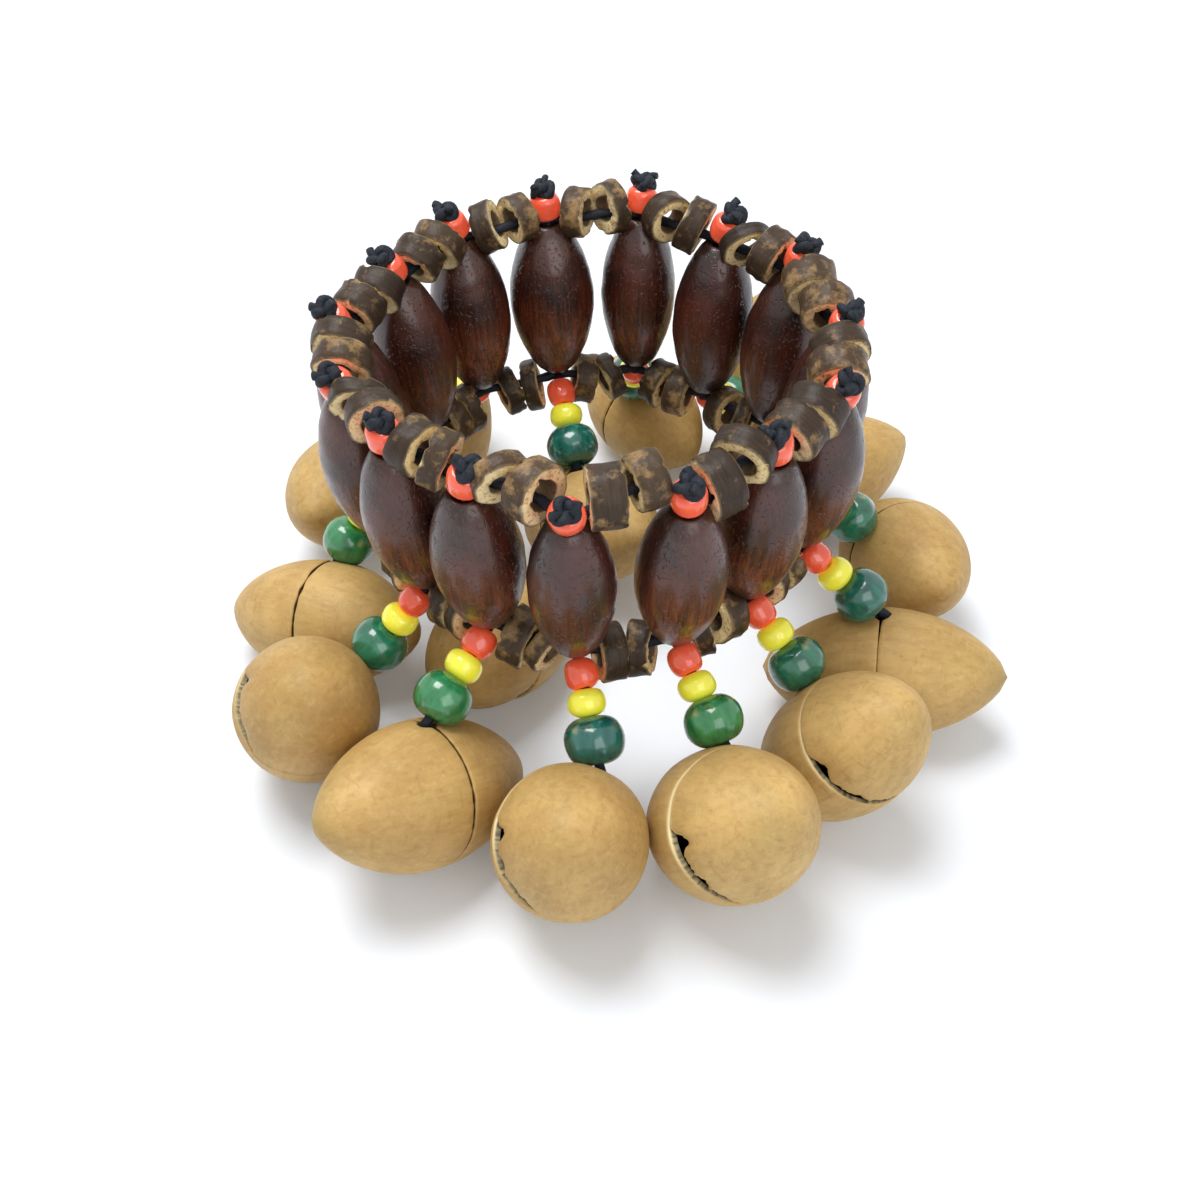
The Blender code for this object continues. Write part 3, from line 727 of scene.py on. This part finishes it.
def glass_finish(name, dark, light):
    """Glass of one strong colour under a polished surface, with a faint painted glow all over it for light that
    sinks in and comes back out, and painted shade in the bore.
    """
    cloud = 2.0
    finish, tree, shader, painted = new_finish(name)
    clouds = add_node(tree, NOISE, {}, {"Vector": painted["place"], "Scale": 1 / cloud})
    base = add_node(tree, MIX, COLOURS, {SHARE: clouds, ONE: dark, OTHER: light})
    # Painted shade in the bore
    base = add_node(tree, MIX, COLOURS, {SHARE: painted["deep"], ONE: base, OTHER: "#1b0f0c"})
    # A faint painted glow: the glass gives off light of its own colour, standing in for light that sinks in and
    # comes back out
    set_inputs(tree, shader, {"Base Color": base, "Roughness": 0.14, "Coat Weight": 0.5,
                              "Coat Roughness": 0.05, "Emission Color": base, "Emission Strength": 0.14})
    return finish


def green_finish():
    """Small wooden bead dyed green and varnished: the dye is uneven, and thin where the bead has rubbed."""
    grain_size = per_mm(1.11, 1.11, 3.33)
    rub = 4.0
    finish, tree, shader, painted = new_finish("green_dyed_wood")
    place = painted["place"]
    along = add_node(tree, STRETCH, {}, {"Vector": place, "Scale": grain_size})
    grain = add_node(tree, NOISE, {}, {"Vector": along, "Scale": 1.0, "Detail": 5.0})
    uneven = add_node(tree, SPREAD, {}, {"Value": grain, "From Min": 0.35, "From Max": 0.75})
    deep = add_node(tree, MIX, COLOURS, {SHARE: painted["tone"], ONE: "#0a524c", OTHER: "#1b7238"})
    pale = add_node(tree, MIX, COLOURS, {SHARE: painted["tone"], ONE: "#1f7a6e", OTHER: "#3d9c57"})
    base = add_node(tree, MIX, COLOURS, {SHARE: uneven, ONE: deep, OTHER: pale})
    rubs = add_node(tree, NOISE, {}, {"Vector": place, "Scale": 1 / rub, "Detail": 3.0})
    rubbed = add_node(tree, SPREAD, {}, {"Value": rubs, "From Min": 0.66, "From Max": 0.76, "To Max": 0.7})
    base = add_node(tree, MIX, COLOURS, {SHARE: rubbed, ONE: base, OTHER: "#b5b070"})
    # Painted shade in the bore
    base = add_node(tree, MIX, COLOURS, {SHARE: painted["deep"], ONE: base, OTHER: "#07150f"})
    bump = add_node(tree, BUMP, {}, {"Strength": 0.25, "Distance": 0.1 * MM, "Height": grain})
    set_inputs(tree, shader, {"Base Color": base, "Roughness": 0.22, "Normal": bump, "Coat Weight": 0.7,
                              "Coat Roughness": 0.05})
    return finish


def cord_finish():
    """Waxed cotton cord, blue-black: dull strands that catch little light, drawn coarser than real ones."""
    strand = 0.3
    finish, tree, shader, painted = new_finish("waxed_cotton")
    strands = add_node(tree, NOISE, {}, {"Vector": painted["place"], "Scale": 1 / strand, "Detail": 4.0})
    base = add_node(tree, MIX, COLOURS, {SHARE: strands, ONE: "#07080b", OTHER: "#2b323d"})
    bump = add_node(tree, BUMP, {}, {"Strength": 0.7, "Distance": 0.2 * MM, "Height": strands})
    set_inputs(tree, shader, {"Base Color": base, "Roughness": 0.6, "Normal": bump,
                              "Specular IOR Level": 0.25})
    return finish


NUTSHELL = nutshell_finish()
LACQUER = lacquer_finish()
COCONUT = coconut_finish()
RED = glass_finish("red_glass", "#ea4527", "#f96c4a")
YELLOW = glass_finish("yellow_glass", "#fff42c", "#ffff58")
GREEN = green_finish()
CORD = cord_finish()

# Places of the strung pieces, from the joints and the solids
JOINTS = {joint["name"]: Vector(joint["pos_m"]) / MM for joint in frame["joints"]}
FEET = [JOINTS["strand_swing_" + label] for label in LABELS]
NUT_PIVOTS = [JOINTS["nut_nod_" + label] for label in LABELS]
RING_AXIS = Vector(frame["record"]["mounts"][0]["pos_m"]) / MM * LEVEL

# The camera's place: with its pitch, roll and lens it shows the top beads where the photograph has them
EYE_FROM_AXIS = Vector((0.667, -162.94, 171.735))
EYE = RING_AXIS + EYE_FROM_AXIS


def solid_points(node):
    """Corners of a solid in millimetres."""
    return [vertex.co / MM for vertex in frame["nodes"][node].data.vertices]


def middle_of(points):
    """Mean of points."""
    return sum(points, Vector()) / len(points)


SPINDLE_MIDDLES = [middle_of(solid_points("spindle_bead_" + label)) for label in LABELS]
AXES = [(middle - foot).normalized() for middle, foot in zip(SPINDLE_MIDDLES, FEET)]
HEADS = [foot + axis * UPRIGHT_LENGTH for foot, axis in zip(FEET, AXES)]
OUTWARDS = [(foot * LEVEL - RING_AXIS).normalized() for foot in FEET]


def make_spindle(number):
    """The wooden spindle."""
    label = LABELS[number]
    piece = Piece("spindle_" + label)
    place = frame_at(OUTWARDS[number], AXES[number], SPINDLE_MIDDLES[number])
    place = place @ Matrix.Translation((0, 0, SPINDLE_RISE)) @ any_turn()
    piece.add(spindle_shape(SPINDLE_WIDTHS.get(number + 1, 1.0)), place, LACQUER)
    piece.build("band", "spindle_bead_" + label, SPINDLE_MIDDLES[number])


def add_rings(piece, start, end, offset, number):
    """Two coconut rings between two uprights, and their cord; the upper ones lean as their beads do."""
    along = (end - start).normalized()
    inward = (RING_AXIS - start.lerp(end, 0.5) * LEVEL).normalized()
    upper = offset.z > 0
    room = TOP_BEAD.diameter / 2 + BEAD_ROOM
    share = ((end - start).length - 2 * room - TUBE_GAP) / 2
    path = [start]
    for which in range(2):
        turn = RING_TURNS[number][which] if upper else RNG.uniform(-LOWER_TURN, LOWER_TURN)
        lean = ASIDES[(number + which) % COUNT] if upper else RNG.uniform(-LOWER_LEAN, LOWER_LEAN)
        rise = RING_RISES[number][which] if upper else LOWER_DROP
        diameter = TUBE_DIAMETER * RNG.uniform(*TUBE_DIAMETERS)
        crowded = TUBE_CROWDING * diameter * abs(math.sin(math.radians(turn)))
        length = (share - crowded) * RNG.uniform(*TUBE_LENGTHS)
        middle = start + along * (room + share / 2 + which * (share + TUBE_GAP))
        middle += offset * rise + inward * max(0.0, rise - 1.0) * TUBE_INWARD
        place = frame_at(offset, along, middle) @ turned_by(turn, "X") @ turned_by(lean, "Y")
        tube = tube_shape(max(length, TUBE_SHORTEST), diameter)
        piece.add(tube, place @ any_turn(), COCONUT)
        path.append(middle - offset * CORD_SAG)
    path.append(end)
    piece.add(cord_shape(smooth_path(path), RING_CORD_DIAMETER), Matrix(), CORD)


def add_knot(piece, place):
    """Overhand knot with two short tails."""
    piece.add(cord_shape(knot_path(KNOT_SIZE), KNOT_CORD), place, CORD)
    for side in (1, -1):
        mirror = Vector((side, 1, 1))
        end = Vector((TAIL_REACH, RNG.uniform(-TAIL_ASIDE, TAIL_ASIDE), RNG.uniform(*TAIL_HEIGHTS)))
        tail = [point * mirror for point in (TAIL_START, TAIL_BEND, end)]
        piece.add(cord_shape(smooth_path(tail), TAIL_CORD), place, CORD)


def make_link(number):
    """Upright cord with its knot and red bead, and the coconut rings up to the next upright."""
    label = LABELS[number]
    after = (number + 1) % COUNT
    piece = Piece("link_" + label)
    foot, head = FEET[number], HEADS[number]
    upright = frame_at(OUTWARDS[number], AXES[number], foot)
    straight = [upright @ Vector((0, 0, height)) for height in UPRIGHT_STOPS]
    piece.add(cord_shape(smooth_path(straight), CORD_DIAMETER), Matrix(), CORD)
    top = upright @ Matrix.Translation((0, 0, BEAD_FOOT))
    top = top @ turned_by(TOP_LEANS[number], "Y") @ turned_by(-ASIDES[number], "X")
    piece.add(bead_shape(TOP_BEAD), top @ Matrix.Translation((0, 0, TOP_BEAD.length / 2)), RED)
    add_knot(piece, top @ Matrix.Translation((0, 0, TOP_BEAD.length + KNOT_RISE)) @ any_turn())
    add_rings(piece, head, HEADS[after], UP, number)
    add_rings(piece, foot, FEET[after], -UP, number)
    piece.build("band", "cord_link_" + label, foot)


def nut_tips(label):
    """The two tips of a nut's solid."""
    points = solid_points("nut_shell_" + label)
    centre = middle_of(points)
    near = max(points, key=lambda point: (point - centre).length)
    far = max(points, key=lambda point: (point - near).length)
    return near, far


def seat_gap(bend):
    """How far a green bead stays short of the hole of the nut it rests on, where that hangs at a bend."""
    reach = NUT_CURVE * math.cos(bend)
    between = math.sqrt(reach ** 2 - NUT_CURVE ** 2 + (BEAD_CURVE + NUT_CURVE) ** 2)
    return between - reach - BEAD_CURVE + NUT_GAP


def make_strand(number):
    """Red, yellow and green bead on their cord."""
    label = LABELS[number]
    piece = Piece("strand_" + label)
    pivot, end = FEET[number], NUT_PIVOTS[number]
    hang = (end - pivot).normalized()
    place = frame_at(UP.orthogonal(), -hang, pivot)
    top = -RED_BEAD_DROP
    near, far = nut_tips(label)
    gap = seat_gap(hang.angle((near + far) / 2 - end))
    stretch = ((end - pivot).length - RED_BEAD_DROP - gap) / sum(bead.length for bead in STRAND_BEADS)
    tones = (None, None, GREEN_TONES[number])
    for bead, finish, tone in zip(STRAND_BEADS, (RED, YELLOW, GREEN), tones):
        length = bead.length * stretch
        middle = place @ Matrix.Translation((0, 0, top - length / 2))
        middle = middle @ turned_by(RNG.uniform(-BEAD_TILT, BEAD_TILT), "X") @ any_turn()
        piece.add(bead_shape(bead._replace(length=length)), middle, finish, tone)
        top -= length
    cord = [pivot, pivot.lerp(end, 0.5), end + hang * NUT_WALL]
    piece.add(cord_shape(smooth_path(cord), CORD_DIAMETER), Matrix(), CORD)
    piece.build("strand_" + label, "bead_strand_" + label, pivot)


def make_nut(number):
    """The hollow nutshell, with its near valve towards the camera."""
    label = LABELS[number]
    piece = Piece("nut_" + label)
    pivot = NUT_PIVOTS[number]
    near, far = nut_tips(label)
    middle = (near + far) / 2
    if (near - far).dot(EYE - middle) < 0:
        near, far = far, near
    split = SPLITS.get(number + 1, CRACKED)
    nut = Nut((near - far).length, 2 * (pivot - middle).length, split, NUTS_APART * number)
    piece.add(nut.shape(), frame_at(near - far, pivot - middle, middle), NUTSHELL, NUT_TONES[number])
    piece.build("nut_" + label, "nut_shell_" + label, pivot)


for count in range(COUNT):
    make_spindle(count)
    make_link(count)
    make_strand(count)
    make_nut(count)


# Stage, light and camera


def background_rays(tree):
    """1 for the rays that show the background: those of the camera, of gloss and through glass."""
    rays = add_node(tree, "ShaderNodeLightPath", {}, {}).outputs
    seen = rays["Is Camera Ray"]
    for name in ("Is Glossy Ray", "Is Transmission Ray"):
        seen = add_node(tree, MATH, LARGER, {0: seen, 1: rays[name]})
    return seen


def floor_finish():
    """White paper: it keeps the shadows near the bracelet and turns to the background's white further off."""
    finish = bpy.data.materials.new("white_paper")
    finish.use_nodes = True
    tree = finish.node_tree
    tree.nodes.remove(tree.nodes["Principled BSDF"])
    place = add_node(tree, "ShaderNodeNewGeometry", {}, {}).outputs["Position"]
    away = add_node(tree, "ShaderNodeVectorMath", {"operation": "LENGTH"}, {0: place}).outputs["Value"]
    white = add_node(tree, SPREAD, {}, {"Value": away, "From Min": 0.12, "From Max": 0.6, "To Min": 0.08})
    lift = add_node(tree, MATH, TIMES, {0: background_rays(tree), 1: white})
    paper = add_node(tree, "ShaderNodeBsdfDiffuse", {}, {"Color": "#e9eef5"})
    glow = add_node(tree, "ShaderNodeEmission", {}, {"Color": "#ffffff", "Strength": lift})
    both = add_node(tree, "ShaderNodeAddShader", {}, {0: paper, 1: glow})
    set_inputs(tree, tree.nodes["Material Output"], {"Surface": both})
    return finish


def make_floor():
    """Wide sheet of white paper under the nuts."""
    half, below = 3.0, -0.3 * MM
    mesh = bpy.data.meshes.new("floor")
    corners = [(-half, -half, below), (half, -half, below), (half, half, below), (-half, half, below)]
    mesh.from_pydata(corners, [], [(0, 1, 2, 3)])
    mesh.materials.append(floor_finish())
    floor = bpy.data.objects.new("floor", mesh)
    bpy.context.scene.collection.objects.link(floor)


def add_lamp(name, place, size, power):
    """Square soft box facing the bracelet, in metres and watts."""
    target = Vector((0.0, 0.0, 0.03))
    lamp = bpy.data.lights.new(name, "AREA")
    lamp.size = size
    lamp.energy = power
    holder = bpy.data.objects.new(name, lamp)
    holder.location = place
    holder.rotation_euler = (target - Vector(place)).to_track_quat("-Z", "Y").to_euler()
    bpy.context.scene.collection.objects.link(holder)


def make_light():
    """Soft box overhead, a little behind and to the left, a weak one in front, and a room brighter above."""
    add_lamp("soft_box", place=(-0.16, 0.14, 0.75), size=0.42, power=5.2)
    add_lamp("fill", place=(0.25, -0.55, 0.45), size=0.5, power=1.6)
    world = bpy.data.worlds.new("white_room")
    world.use_nodes = True
    tree = world.node_tree
    direction = add_node(tree, "ShaderNodeTexCoord", {}, {}).outputs["Generated"]
    height = add_node(tree, XYZ, {}, {0: direction}).outputs["Z"]
    room = add_node(tree, SPREAD, {}, {"Value": height, "From Min": 0.0, "From Max": 0.8,
                                       "To Min": 0.26, "To Max": 0.55})
    strength = add_node(tree, MATH, LARGER, {0: room, 1: background_rays(tree)})
    set_inputs(tree, tree.nodes["Background"], {"Color": "#ffffff", "Strength": strength})
    bpy.context.scene.world = world


def make_camera():
    """Camera where the photograph was taken from, close above the front of the ring."""
    pitch, roll, lens, sensor = 45.55, -1.44, 46.266, 36.0
    camera = bpy.data.cameras.new("camera")
    camera.lens, camera.sensor_width = lens, sensor
    camera.clip_start = 0.01
    holder = bpy.data.objects.new("camera", camera)
    holder.matrix_world = Matrix.Translation(EYE * MM) @ turned_by(90.0 - pitch, "X") @ turned_by(roll, "Z")
    bpy.context.scene.collection.objects.link(holder)
    bpy.context.scene.camera = holder


make_floor()
make_light()
make_camera()
bpy.context.scene.view_settings.view_transform = "Standard"
